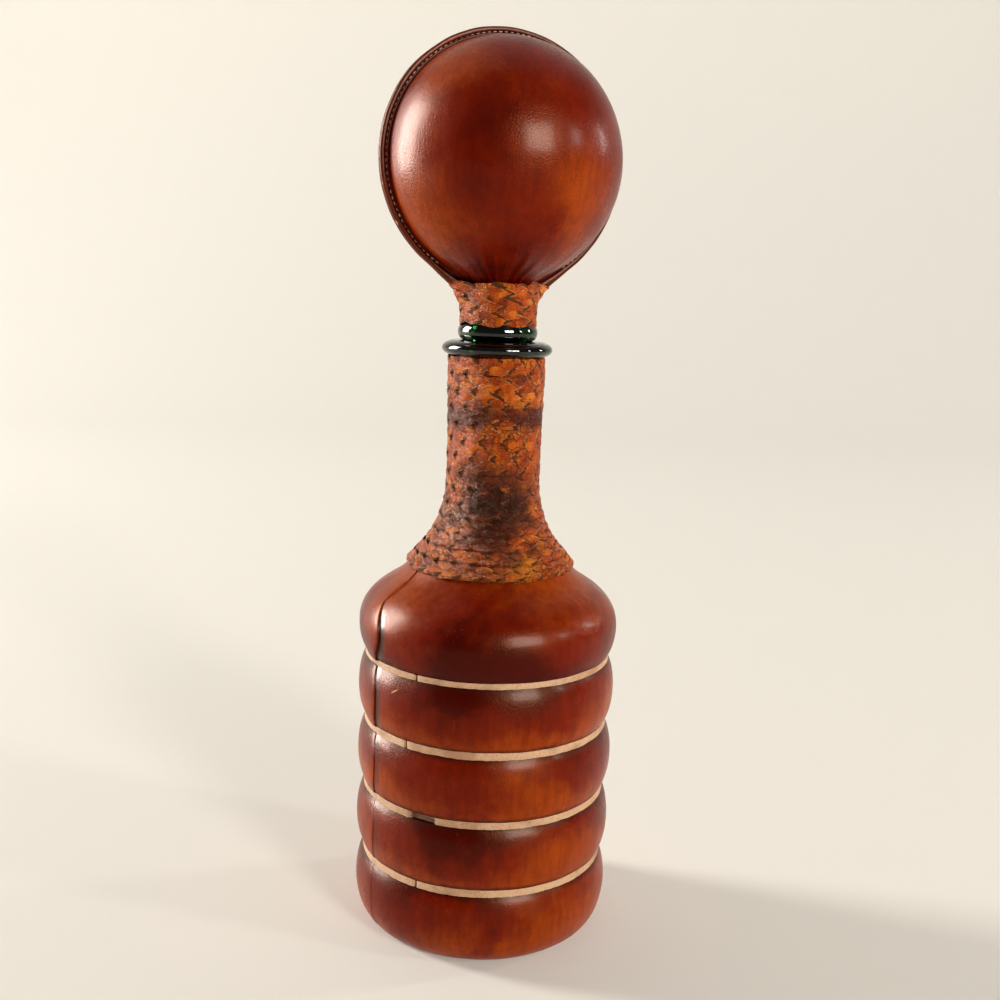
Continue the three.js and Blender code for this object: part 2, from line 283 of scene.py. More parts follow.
coverFinish = {
    "dark": tone(0.062, 0.0008, 0.0001),
    "middle": tone(0.195, 0.0095, 0.0002),
    "light": tone(0.390, 0.0520, 0.0006),
    # cut edges: their dark colour, which on the covers also paints the shade in the grooves beside the strips
    "edge": tone(0.040, 0.0030, 0.0006),
    "nick": tone(0.620, 0.3600, 0.1700),
    "nicks": scratchAlong((-44.2, -21.9, 100.85), (-42.3, -24.3, 102.65), 0.42, 9),
    "lacquerAndShade": tone(0.034, 0.0016, 0.0003),  # dark lacquer in the upright seam, also painted shade of the lap in the hollow beside it
    "lacquer": 0.35,  # its coat
    "wax": 0.09,
    "waxDull": 0.20,
    "gloss": 0.12,
    "sheen": tone(1.0, 0.50, 0.20),  # warm gloss of the hide
    "patches": 24.0,
    "mottle": 0.85,
    "dyeAndShadingRange": 0.42,  # how far the dye and the painted light and shade of each cover, lighter and darker, shift the patches
    "grain": 1100.0,
    "creases": 260.0,
    "bump": (0.16, 0.0005),
}
ballFinish = dict(coverFinish, patches=21.0, mottle=0.55, grain=950.0, creases=330.0, lacquerAndShade=None)
ballFinish["edge"] = tone(0.13, 0.024, 0.009)
ballFinish["nicks"] = [((-46.2, -0.9, 281.4), 1.3), ((-40.6, -0.9, 267.8), 1.5)]


def burnishedLeather(name, finish):
    material, place = startMaterial(name)
    grain = grainOf(place, finish)
    marks = useGroup(scuffs, {"Place": place, "Amount": 0.5})["Mask"]
    streaks = cloud(stretched(place, (420, 420, 60)), 1.0, 3.0)  # upright strokes of the dye
    colour = hideColour(place, finish, times(minus(attribute("dyeAndShading"), 0.5), finish["dyeAndShadingRange"]))
    colour = blend(spread(streaks, 0.35, 0.7, 0.0, 0.3), colour, finish["dark"])
    colour = blend(times(grain["Pits"], 0.18), colour, finish["dark"])
    colour = blend(times(marks, 0.5), colour, finish["light"])
    # towards the cut edges: their own colour, which on the covers also paints the shade in the grooves beside
    # the strips
    colour = edgeWearAndShade(place, colour, finish["edge"])
    for point, size in finish["nicks"]:
        colour = blend(nearPoint(place, point, size * 0.5, size), colour, finish["nick"])
    dull = spread(cloud(place, 70.0, 5.0), 0.35, 0.7, 0.27, 0.38)
    coat = finish["wax"]
    if finish["lacquerAndShade"]:
        lacqueredAndShaded = attribute("lacqueredAndShaded")
        colour = blend(lacqueredAndShaded, colour, finish["lacquerAndShade"])
        coat = spread(lacqueredAndShaded, 0.0, 1.0, finish["wax"], finish["lacquer"])
    dress(colour, plus(dull, times(marks, 0.2)), grain["Height"], finish["bump"], {
        "Coat Weight": coat, "Coat Roughness": finish["waxDull"],
        "Specular IOR Level": finish["gloss"], "Specular Tint": finish["sheen"],
    })
    return material


coverLeather = burnishedLeather("coverLeather", coverFinish)
ballLeather = burnishedLeather("ballLeather", ballFinish)

# raw leather of the strips
rawFinish = {
    "pale": tone(0.72, 0.430, 0.240),
    "tan": tone(0.44, 0.205, 0.095),
    "dirt": tone(0.13, 0.032, 0.009),
}


def makeRawLeather():
    material, place = startMaterial("rawLeather")
    fibre = cloud(place, 1600.0, 5.0, 0.7)
    stain = cloud(place, 90.0, 4.0)
    pits = spread(cells(place, 800.0), 0.06, 0.3, 1.0, 0.0)
    colour = blend(spread(stain, 0.42, 0.7, 0.0, 0.8), rawFinish["pale"], rawFinish["tan"])
    colour = blend(spread(fibre, 0.45, 0.75, 0.0, 0.7), colour, rawFinish["tan"])
    colour = edgeWearAndShade(place, blend(times(pits, 0.4), colour, rawFinish["dirt"]), rawFinish["dirt"])
    relief = plus(fibre, times(pits, -0.5))
    dress(colour, spread(fibre, 0.3, 0.7, 0.62, 0.88), relief, (0.5, 0.0004))
    return material


rawLeather = makeRawLeather()

# laces of the two plaits: crackled tan, stained dark at the front of the neck
laceFinish = {
    "dark": tone(0.150, 0.0110, 0.0010),
    "middle": tone(0.460, 0.0600, 0.0018),
    "light": tone(0.780, 0.1900, 0.0060),
    "wornAndHighlight": tone(0.860, 0.3400, 0.0900),
    # colour of the painted shade where the laces dip, fold and meet, and of their dark cracks
    "gap": tone(0.034, 0.0060, 0.0020),
    "gloss": 0.24,
    "sheen": tone(1.0, 0.60, 0.38),
    "patches": 85.0,
    "mottle": 1.1,
    "grain": 1500.0,
    "creases": 420.0,
    "bandAt": 199.5,  # mm, height of the maroon band
    "bandReach": 8.0,
    "maroon": tone(0.085, 0.0070, 0.0030),
    "crumple": 360.0,  # small facets between the folds of the dried leather
    # how dark the painted shade in the fold lines is
    "fold": 0.75,
    "bump": (0.65, 0.0005),
}
# spilled wax and dye on the neck, a light patch with painted sheen and a small whitish speck: place and reach
# in mm, colour, size and cut of its ragged edge
laceSpots = [
    ((3.1, -29.8, 148.8), (3.0, 9.0), tone(0.84, 0.25, 0.008), 150.0, (0.36, 0.52)),
    ((-8.0, -16.0, 162.0), (13.0, 31.0), tone(0.15, 0.022, 0.006), 120.0, (0.35, 0.55)),
    ((-5.0, -17.5, 167.0), (6.0, 17.5), tone(0.028, 0.0030, 0.0008), 180.0, (0.28, 0.46)),
    # light flecks at the left of the neck, with painted sheen
    ((-18.9, -6.6, 160.0), (4.0, 12.0), tone(0.50, 0.30, 0.18), 420.0, (0.50, 0.62)),
    # a small whitish speck
    ((-2.0, -20.4, 171.4), (0.5, 1.5), tone(0.78, 0.70, 0.58), 500.0, (0.25, 0.4)),
]


def laceCracks(place, run):
    lay = stretched(run, (0.45, 5.0, 1.0))  # cracks run along the lace
    wander = put("TexNoise", {"Vector": lay, "Scale": 1.4, "Detail": 3.0})
    crack = cells(swayed(lay, wander, (0.9, 0.9, 0.0)), 1.0, "DISTANCE_TO_EDGE")
    crack = spread(crack, 0.0, 0.07, 1.0, 0.0)
    return times(crack, spread(cloud(place, 120.0), 0.42, 0.62))


def laceFolds(place):
    wander = put("TexNoise", {"Vector": place, "Scale": 260.0, "Detail": 2.0})
    shifted = swayed(place, wander, (0.0024, 0.0024, 0.0024))
    crumpled = spread(cloud(place, 55.0, 2.0), 0.39, 0.56)
    folds = spread(cells(shifted, laceFinish["crumple"], "DISTANCE_TO_EDGE"), 0.015, 0.075, 1.0, 0.0)
    return times(folds, crumpled), times(cells(shifted, laceFinish["crumple"]), crumpled)


def laceSide(place, run):
    side = calc("FRACT", put("SeparateXYZ", {"Vector": run}).outputs["Y"])
    side = calc("ABSOLUTE", minus(side, 0.5))
    return plus(side, times(minus(cloud(place, 420.0, 3.0), 0.5), 0.12))


def stainedLace(place, colour):
    height = put("SeparateXYZ", {"Vector": place}).outputs["Z"]
    band = calc("ABSOLUTE", minus(height, laceFinish["bandAt"] * mm))
    band = spread(band, 0.0, laceFinish["bandReach"] * mm, 1.0, 0.0)
    blotch = spread(cloud(place, 75.0, 4.0), 0.28, 0.46)
    colour = blend(times(band, blotch), colour, laceFinish["maroon"])
    for point, reach, stain, ragged, cut in laceSpots:
        mask = times(nearPoint(place, point, *reach), spread(cloud(place, ragged, 5.0), *cut))
        colour = blend(mask, colour, stain)
    return colour


def makeLaceLeather():
    material, place = startMaterial("laceLeather")
    run = put("UVMap", uv_map="lace").outputs["UV"]
    grain = grainOf(place, laceFinish)
    marks = useGroup(scuffs, {"Place": place, "Amount": 1.0})["Mask"]
    crack = laceCracks(place, run)
    folds, facets = laceFolds(place)
    side = laceSide(place, run)
    # lighter along the lace's edges: wear, with a painted highlight on the edges
    rim = times(spread(side, 0.30, 0.42), spread(cloud(place, 210.0), 0.40, 0.6))
    # dark line along the lace's edges: its cut edge, with painted shade where one lace lies on another
    line = spread(side, 0.405, 0.465)
    colour = hideColour(stretched(run, (0.0020, 0.0060, 0.0)), laceFinish, 0.03)
    colour = blend(times(rim, 0.65), colour, laceFinish["wornAndHighlight"])
    colour = blend(times(marks, 0.5), colour, laceFinish["wornAndHighlight"])
    colour = blend(times(rim, 0.28), stainedLace(place, colour), laceFinish["middle"])
    # painted shade where the lace dips under the others, in the fold lines and along its edges, with the dark
    # of its cracks
    cracksAndShade = larger(times(attribute("deep"), 0.6), times(crack, 0.85))
    cracksAndShade = larger(cracksAndShade, times(line, 0.92))
    cracksAndShade = larger(cracksAndShade, times(folds, laceFinish["fold"]))
    colour = blend(cracksAndShade, colour, laceFinish["gap"])
    dull = plus(spread(cloud(place, 160.0, 5.0), 0.35, 0.7, 0.24, 0.46), times(cracksAndShade, 0.25))
    relief = minus(grain["Height"], times(crack, 0.9))
    relief = minus(minus(relief, times(folds, 1.2)), times(facets, 1.6))
    dress(colour, dull, relief, laceFinish["bump"], {
        "Specular IOR Level": laceFinish["gloss"], "Specular Tint": laceFinish["sheen"],
    })
    return material


laceLeather = makeLaceLeather()

# sole, thread, glass, cork and wood
plainFinish = {
    "soleDark": tone(0.040, 0.012, 0.005),
    "soleLight": tone(0.110, 0.040, 0.016),
    "threadDark": tone(0.160, 0.060, 0.035),
    "threadLight": tone(0.640, 0.420, 0.310),
    "glassDeep": tone(0.0010, 0.0050, 0.0015),
    "glassClear": tone(0.0040, 0.0500, 0.0090),
    "corkPale": tone(0.520, 0.320, 0.160),
    "corkDark": tone(0.160, 0.070, 0.030),
    "woodPale": tone(0.440, 0.260, 0.120),
    "woodDark": tone(0.240, 0.120, 0.050),
}


def makeSoleLeather():
    material, place = startMaterial("soleLeather")
    grain = grainOf(place, {"grain": 900.0, "creases": 160.0})
    rub = spread(cloud(place, 60.0, 6.0), 0.35, 0.7)
    colour = blend(rub, plainFinish["soleDark"], plainFinish["soleLight"])
    dress(colour, spread(rub, 0.0, 1.0, 0.55, 0.8), grain["Height"], (0.4, 0.0005))
    return material


def makeThread():
    material, place = startMaterial("waxedThread")
    twist = cloud(place, 2200.0, 3.0)
    wax = spread(cloud(place, 140.0, 3.0), 0.4, 0.65)
    colour = blend(wax, plainFinish["threadDark"], plainFinish["threadLight"])
    dress(colour, spread(twist, 0.3, 0.7, 0.25, 0.5), twist, (0.4, 0.0002))
    return material


def makeBottleGlass():
    material, place = startMaterial("bottleGlass")
    drift = cloud(place, 60.0, 2.0)
    colour = blend(drift, plainFinish["glassDeep"], plainFinish["glassClear"])
    smear = spread(cloud(place, 220.0, 5.0), 0.5, 0.75, 0.03, 0.12)
    dress(colour, smear, drift, (0.12, 0.0008), {"Transmission Weight": 1.0, "IOR": 1.52})
    return material


def makeCork():
    material, place = startMaterial("corkBark")
    flecks = spread(cells(stretched(place, (330, 330, 520)), 1.0), 0.1, 0.42, 1.0, 0.0)
    flecks = times(flecks, spread(cloud(place, 260.0), 0.45, 0.6))
    rings = cloud(place, 420.0, 6.0, 0.7)
    colour = blend(spread(rings, 0.4, 0.75, 0.0, 0.5), plainFinish["corkPale"], plainFinish["corkDark"])
    colour = blend(flecks, colour, plainFinish["corkDark"])
    dress(colour, spread(rings, 0.3, 0.7, 0.7, 0.9), minus(rings, flecks), (0.6, 0.0006))
    return material


def makeCoreWood():
    material, place = startMaterial("coreWood")
    feeds = {"Vector": stretched(place, (1, 0.25, 1)), "Scale": 160.0, "Distortion": 5.0, "Detail": 3.0}
    rings = put("TexWave", feeds, wave_type="RINGS").outputs["Fac"]
    pores = cloud(stretched(place, (1600, 1600, 160)), 1.0, 3.0)
    colour = blend(rings, plainFinish["woodPale"], plainFinish["woodDark"])
    colour = blend(spread(pores, 0.6, 0.75, 0.0, 0.6), colour, plainFinish["woodDark"])
    dress(colour, spread(pores, 0.3, 0.7, 0.5, 0.7), pores, (0.25, 0.0004))
    return material


soleLeather = makeSoleLeather()
waxedThread = makeThread()
bottleGlass = makeBottleGlass()
corkBark = makeCork()
coreWood = makeCoreWood()
print("finishes made")


# outlines are lists of (radius, height) in mm, drawn upwards on the outside of a piece
def arcPoints(centre, radii, start, end, steps):
    points = []
    for i in range(steps + 1):
        angle = math.radians(start + (end - start) * i / steps)
        points.append((centre[0] + radii[0] * math.cos(angle), centre[1] + radii[1] * math.sin(angle)))
    return points


def curvePoints(a, b, c, d, steps):
    points = []
    for i in range(steps + 1):
        t = i / steps
        s = 1 - t
        weights = (s * s * s, 3 * s * s * t, 3 * s * t * t, t * t * t)
        points.append(tuple(sum(w * p[k] for w, p in zip(weights, (a, b, c, d))) for k in (0, 1)))
    return points


def pushOut(points, distance, levelStart=False, levelEnd=False):
    moved = []
    last = len(points) - 1
    for i, (radius, height) in enumerate(points):
        before = points[max(i - 1, 0)]
        after = points[min(i + 1, last)]
        along = Vector((after[0] - before[0], after[1] - before[1])).normalized()
        if (i == 0 and levelStart) or (i == last and levelEnd):
            moved.append((radius + distance / along.y, height))
        else:
            moved.append((radius + along.y * distance, height - along.x * distance))
    return moved


def roundCorner(before, corner, after, size):
    a, b, c = Vector(before), Vector(corner), Vector(after)
    start = b + (a - b).normalized() * min(size, (a - b).length * 0.5)
    end = b + (c - b).normalized() * min(size, (c - b).length * 0.5)
    return [tuple(start * (1 - t) ** 2 + b * 2 * t * (1 - t) + end * t * t) for t in (0, 0.33, 0.67, 1)]


def measured(points):
    run = [0.0]
    for a, b in zip(points, points[1:]):
        run.append(run[-1] + math.hypot(b[0] - a[0], b[1] - a[1]))
    return run


def smooth(value, low, high):
    t = min(max((value - low) / (high - low), 0.0), 1.0)
    return t * t * (3 - 2 * t)


def ripple(x, y, z):
    return noise.noise(Vector((x, y, z)))


def polar(vert):
    radius = math.hypot(vert.co.x, vert.co.y) / mm
    return radius, math.degrees(math.atan2(vert.co.y, vert.co.x)) % 360, vert.co.z / mm


def spinSection(points, steps, closed=True, marks=None):
    bm = bmesh.new()
    layers = {name: bm.verts.layers.float.new(name) for name in (marks or {})}
    verts = [bm.verts.new((radius * mm, 0, height * mm)) for radius, height in points]
    for name, layer in layers.items():
        for vert, value in zip(verts, marks[name]):
            vert[layer] = value
    edges = [bm.edges.new(pair) for pair in zip(verts, verts[1:])]
    if closed:
        edges.append(bm.edges.new((verts[-1], verts[0])))
    bmesh.ops.spin(bm, geom=verts + edges, cent=(0, 0, 0), axis=(0, 0, 1), dvec=(0, 0, 0),
                   angle=2 * math.pi, steps=steps, use_merge=True, use_duplicate=False)
    bmesh.ops.remove_doubles(bm, verts=bm.verts, dist=1e-6)
    bmesh.ops.recalc_face_normals(bm, faces=bm.faces)
    return bm


def meshObject(bm, name, material, sharp=None):
    mesh = bpy.data.meshes.new(name)
    bm.to_mesh(mesh)
    bm.free()
    mesh.shade_smooth()
    if sharp:
        mesh.set_sharp_from_angle(angle=math.radians(sharp))
    mesh.materials.append(material)
    piece = bpy.data.objects.new(name, mesh)
    scene.collection.objects.link(piece)
    return piece


def finishPiece(bm, name, material, body, nodes=(), sharp=None):
    piece = meshObject(bm, name, material, sharp)
    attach(piece, body)
    if nodes:
        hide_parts(*nodes)


# bottle
bottle = {
    "belly": 47.7,  # radius of the glass at a rib
    "grooveDepth": 2.8,
    "ribEdge": 65.0,
    "lowestGroove": 28.9,
    "pitch": 26.5,
    "edgeGap": 1.75,  # from the middle of a strip to a cover's edge
    "ribs": 4,
    "base": 2.1,
    "footSetIn": 6.0,
    "footCorner": 80.0,
    "wall": 3.4,
    "floor": 5.0,
    "punt": (34.0, 8.0),
    "shoulderRise": 11.1,
    "shoulderTurn": (35.8, 15.5),
    "shoulderSlope": 58.3,
    "handles": (8.1, 7.2, 8.8, 19.0),
    "flareRise": 40.3,
    "neck": 15.0,
    "neckStraight": 45.9,
    "ring": (20.7, 6.1),
    "waist": 12.6,
    "lip": (14.9, 6.2),
    "bore": (9.3, 30.0),
    "around": 144,
}
ribEdge = bottle["ribEdge"]
ribSwell = bottle["grooveDepth"] / (1 - math.cos(math.radians(ribEdge)))
ribHalf = bottle["pitch"] / 2 - bottle["edgeGap"]
shoulderBelly = bottle["lowestGroove"] + 3 * bottle["pitch"] + bottle["shoulderRise"]
turnPoint = (bottle["shoulderTurn"][0], shoulderBelly + bottle["shoulderTurn"][1])
neckFoot = (bottle["neck"], turnPoint[1] + bottle["flareRise"])
ringFoot = neckFoot[1] + bottle["neckStraight"]
ringTop = ringFoot + bottle["ring"][1]
lipTop = ringTop + bottle["lip"][1]


def ribMiddle(i):
    return bottle["lowestGroove"] + (i - 0.5) * bottle["pitch"]


def ribArc(middle, half, start, end, steps):
    radii = (ribSwell, half / math.sin(math.radians(ribEdge)))
    return arcPoints((bottle["belly"] - ribSwell, middle), radii, start, end, steps)


def footArc(steps):
    corner = math.radians(bottle["footCorner"])
    wide = bottle["footSetIn"] / (1 - math.cos(corner))
    high = (ribMiddle(0) - bottle["base"]) / math.sin(corner)
    return arcPoints((bottle["belly"] - wide, ribMiddle(0)), (wide, high), -bottle["footCorner"], 0, steps)


def shoulderCurve(steps):
    lean = math.radians(bottle["shoulderSlope"])
    slope = (-math.sin(lean), math.cos(lean))
    full, ease, flareEase, flareFull = bottle["handles"]
    lower = curvePoints(
        (bottle["belly"], shoulderBelly), (bottle["belly"], shoulderBelly + full),
        (turnPoint[0] - slope[0] * ease, turnPoint[1] - slope[1] * ease), turnPoint, steps)
    flare = curvePoints(
        turnPoint, (turnPoint[0] + slope[0] * flareEase, turnPoint[1] + slope[1] * flareEase),
        (bottle["neck"], neckFoot[1] - flareFull), neckFoot, steps * 2)
    return lower, flare


shoulderLine, flareLine = shoulderCurve(24)


def makeGlass():
    ringOut, ringHigh = bottle["ring"]
    lipOut, lipHigh = bottle["lip"]
    boreRadius, boreDepth = bottle["bore"]
    puntOut, puntHigh = bottle["punt"]
    belly, base, wall, neck, waist = (bottle[name] for name in ("belly", "base", "wall", "neck", "waist"))
    outside = [(0.0, base + puntHigh)]
    outside += arcPoints((0, base), (puntOut, puntHigh), 90, 0, 10)[1:]
    outside += footArc(10) + ribArc(ribMiddle(0), ribHalf, 0, ribEdge, 8)[1:]
    for i in range(1, bottle["ribs"]):
        outside += ribArc(ribMiddle(i), ribHalf, -ribEdge, ribEdge, 14)
    outside += ribArc(shoulderBelly, bottle["shoulderRise"] - bottle["edgeGap"], -ribEdge, 0, 8)
    outside += shoulderLine[1:] + flareLine[1:]
    outside += arcPoints((neck, ringFoot + ringHigh / 2), (ringOut - neck, ringHigh / 2), -90, 90, 18)
    outside += [(waist + 0.4, ringTop)]
    outside += arcPoints((waist, ringTop + lipHigh / 2), (lipOut - waist, lipHigh / 2), -62, 70, 16)
    outside += [(boreRadius + 1.0, lipTop), (boreRadius + 0.3, lipTop - 0.2)]
    inside = [(boreRadius, lipTop - 0.8), (boreRadius, lipTop - boreDepth)]
    inside += [(neck - wall, lipTop - boreDepth - wall)]
    inside += pushOut(shoulderLine + flareLine[1:], -wall)[::-1]
    for i in range(bottle["ribs"] - 1, -1, -1):
        groove = bottle["lowestGroove"] + i * bottle["pitch"]
        inside.append((belly - bottle["grooveDepth"] - wall, groove))
        inside.append((belly - wall, ribMiddle(i)))
    floor = base + bottle["floor"]
    inside.append((belly - bottle["footSetIn"] - wall, floor + wall))
    inside += arcPoints((0, floor), (puntOut, puntHigh), 0, 90, 8)[:-1] + [(0.0, floor + puntHigh)]
    bm = spinSection(outside + inside, bottle["around"], closed=False)
    glassNodes = ["glass_body", "glass_neck"]
    finishPiece(bm, "bottle_dark_glass", bottleGlass, "bottle", glassNodes, 38)


makeGlass()
print("glass made")

# leather covers
covers = {
    "glueLine": 0.3,
    "thickness": 1.8,
    "around": 360,
    "cutRound": 0.5,  # rounding of the cut edges
    "edgeReach": 4.5,  # how far the dark of a cut edge, and the painted shade of the groove beside a strip, runs in
    "seam": 191.0,  # degrees from +X
    "lapReach": 14.0,  # how far the lap swells behind its edge
    "lapWaver": (0.85, 0.3),  # share of its height that a lap always has, and share that varies
    "lapEdge": 0.8,  # share of its height at the rounded edge
    "lapCut": (0.06, 0.45),  # degrees from the seam to the sheet below and to the lap's full height
    "hollow": (0.15, 1.0, 7.0),  # share of the lap's height, and degrees in which the hollow fades
    "swell": 0.16,  # slow unevenness of the hide
    "tuck": 12.4,  # how far the shoulder runs up the flare, under the plait
    "overhang": 0.45,  # how far the shoulder's edge hangs lower than the bands'
    "creases": 0.26,
    "creasesFrom": 139.0,  # height over which the shoulder is gathered
    "edgeWaver": 0.16,
    "lacquerAndShade": 4.6,  # degrees, reach of the lacquer and painted shade in the hollow beside the lap
    "lacquerAndShadeFade": 1.2,
    "lacquerAndShadeTop": (0.48, 0.60),  # share of the shoulder's height at which the lacquer and painted shade end
    "grooveDark": 0.95,  # how full of lacquer and painted shade that hollow is beside the highest lap
    "strayReach": 16.0,  # degrees of the cover that go along with a straying seam
    "shoulderStray": 0.62,  # share of the shoulder's height on which its seam strays
}
# of each cover: how high its lap stands, how many degrees its seam strays from upright, and its dye and
# painted shading, which is how light it is all over, how much lighter towards its lower edge, as painted
# light on the bands, while the shoulder's amount below zero makes it darker towards the bottom, and how dark
# at its front, as painted shade
coverRows = {
    "foot_band": (0.18, 3.0, (0.74, 0.56, 0.14)),
    "lower_band": (0.28, 4.0, (0.74, 0.66, 0.26)),
    "middle_band": (0.5, 4.0, (0.70, 0.66, 0.32)),
    "upper_band": (0.8, 4.0, (0.70, 0.66, 0.52)),
    "shoulder_cover": (1.0, 6.5, (0.62, -0.66, 0.38)),
}
frontShade = (243.0, 26.0)  # degrees: middle and reach of the painted shade at the front, where light falls only from the sides


def dyeAndShadingAt(dyeAndShading, angle, share):
    base, lower, dip = dyeAndShading
    middle, reach = frontShade
    front = math.exp(-((angle - middle) / reach) ** 2)
    # lighter towards the lower edge as painted light on the bands, darker towards the bottom on the shoulder;
    # the front term is painted shade
    return base + lower * (0.5 - share) - dip * front * (1 - 0.5 * abs(share - 0.4))


def coverSection(glass, levelStart, levelEnd):
    inner = pushOut(glass, covers["glueLine"], levelStart, levelEnd)
    outer = pushOut(glass, covers["glueLine"] + covers["thickness"], levelStart, levelEnd)
    size = covers["cutRound"]
    points = roundCorner(inner[0], outer[0], outer[1], size)
    points += outer[1:-1]
    points += roundCorner(outer[-2], outer[-1], inner[-1], size)
    outerCount = len(points)
    points += inner[::-1]
    return points, outerCount


def edgeMarks(points, outerCount, atStart, atEnd):
    run = measured(points[:outerCount])
    reach = covers["edgeReach"]
    marks = []
    for value in run:
        fromStart = 1 - value / reach if atStart else 0
        fromEnd = 1 - (run[-1] - value) / reach if atEnd else 0
        marks.append(max(fromStart, fromEnd, 0.0))
    return marks + [1.0] * (len(points) - outerCount)


def shapeCover(bm, node):
    skin = bm.verts.layers.float["skin"]
    dyeAndShading = bm.verts.layers.float.new("dyeAndShading")
    lacqueredAndShaded = bm.verts.layers.float.new("lacqueredAndShaded")
    lapStep, seamStray, coverDyeAndShading = coverRows[node]
    shoulder = node == "shoulder_cover"
    always, varies = covers["lapWaver"]
    sheetCut, lapCut = covers["lapCut"]
    hollow, hollowFrom, hollowTo = covers["hollow"]
    column = 360 / covers["around"]
    bottom = min(vert.co.z for vert in bm.verts) / mm
    top = max(vert.co.z for vert in bm.verts) / mm
    for vert in bm.verts:
        radius, angle, height = polar(vert)
        behind = covers["seam"] - angle
        share = (height - bottom) / (top - bottom)
        groove = 0.0
        if behind < 0:
            groove = 1 - smooth(-behind, covers["lacquerAndShade"] - covers["lacquerAndShadeFade"], covers["lacquerAndShade"])
        if shoulder:
            groove *= 1 - smooth(share, *covers["lacquerAndShadeTop"])
        # lacquer and painted shade of the lap, darker the higher the lap stands
        vert[lacqueredAndShaded] = covers["grooveDark"] * groove * lapStep
        lap = lapStep * (always + varies * ripple(height * 0.11, 3.1, 0))
        if abs(behind) < column * 0.5:
            rise = lap * covers["lapEdge"]
        elif -1.5 * column < behind < 0:
            angle = covers["seam"] + sheetCut
            rise = 0.0
        elif 0 < behind < 1.5 * column:
            angle = covers["seam"] - lapCut
            rise = lap
        elif behind > 0:
            rise = lap * (1 - smooth(behind * radius * math.pi / 180, 0.0, covers["lapReach"]))
        else:
            rise = -hollow * lap * (1 - smooth(-behind, hollowFrom, hollowTo))
        strayed = min(share / covers["shoulderStray"], 1.0) if shoulder else share
        stray = seamStray * math.sin(math.pi * strayed)
        stray *= math.exp(-((angle - covers["seam"]) / covers["strayReach"]) ** 2)
        turn = math.radians(angle + stray)
        x, y = math.cos(turn), math.sin(turn)
        rise += covers["swell"] * ripple(x * 1.9, y * 1.9, height * 0.05)
        rise += covers["swell"] * 0.35 * ripple(x * 6.5, y * 6.5, height * 0.16)
        if shoulder:
            depth = smooth(height, covers["creasesFrom"], covers["creasesFrom"] + 10)
            fold = ripple(x * 7 + 4, y * 7, height * 0.02) + 0.6 * ripple(x * 17, y * 17 + 9, height * 0.03)
            rise += covers["creases"] * depth * fold
        radius += rise * vert[skin]
        vert[dyeAndShading] = dyeAndShadingAt(coverDyeAndShading, angle, share)
        height += covers["edgeWaver"] * ripple(x * 5, y * 5, 20 + round(height / 12))
        vert.co = Vector((x * radius, y * radius, height)) * mm


def makeCover(node, glass, levelStart, levelEnd):
    points, outerCount = coverSection(glass, levelStart, levelEnd)
    marks = {
        "edge": edgeMarks(points, outerCount, levelStart, levelEnd),
        "skin": [1.0] * outerCount + [0.0] * (len(points) - outerCount),
    }
    bm = spinSection(points, covers["around"], True, marks)
    shapeCover(bm, node)
    bmesh.ops.recalc_face_normals(bm, faces=bm.faces)
    finishPiece(bm, node + "_leather", coverLeather, "bottle", [node], 50)


def alongFlare(run):
    return [point for point, before in zip(flareLine, [0.0] + measured(flareLine)) if before < run]


makeCover("foot_band", footArc(14) + ribArc(ribMiddle(0), ribHalf, 0, ribEdge, 10)[1:], False, True)
for rib, bandName in ((1, "lower_band"), (2, "middle_band"), (3, "upper_band")):
    makeCover(bandName, ribArc(ribMiddle(rib), ribHalf, -ribEdge, ribEdge, 20), True, True)
shoulderDrop = bottle["shoulderRise"] - bottle["edgeGap"] + covers["overhang"]
shoulderGlass = ribArc(shoulderBelly, shoulderDrop, -ribEdge, 0, 10)
shoulderGlass += shoulderLine[1:] + alongFlare(covers["tuck"])[1:]
makeCover("shoulder_cover", shoulderGlass, True, False)
print("covers made")

# raw strips in the grooves
strips = {
    "around": 360,
    "depth": 2.0,
    "cutRound": 0.3,
    "fray": 0.13,
    "waver": 0.22,
    "joints": {1: 220.0, 3: 213.0, 4: 218.0},  # degrees, where the ends meet
    "jointCut": (0.6, 0.7),  # half its width in degrees, and its depth
    "lost": (2, 215.5, 229.5),  # strip and angles where a piece is gone
    "lostDepth": 1.3,
    "lostEnds": 1.2,  # degrees in which the broken ends slope
    "sliver": 0.8,  # how thick a sliver is left at the top of the lost stretch
    "sliverFrom": (2.0, 6.0),  # degrees behind the first broken end in which it begins
}


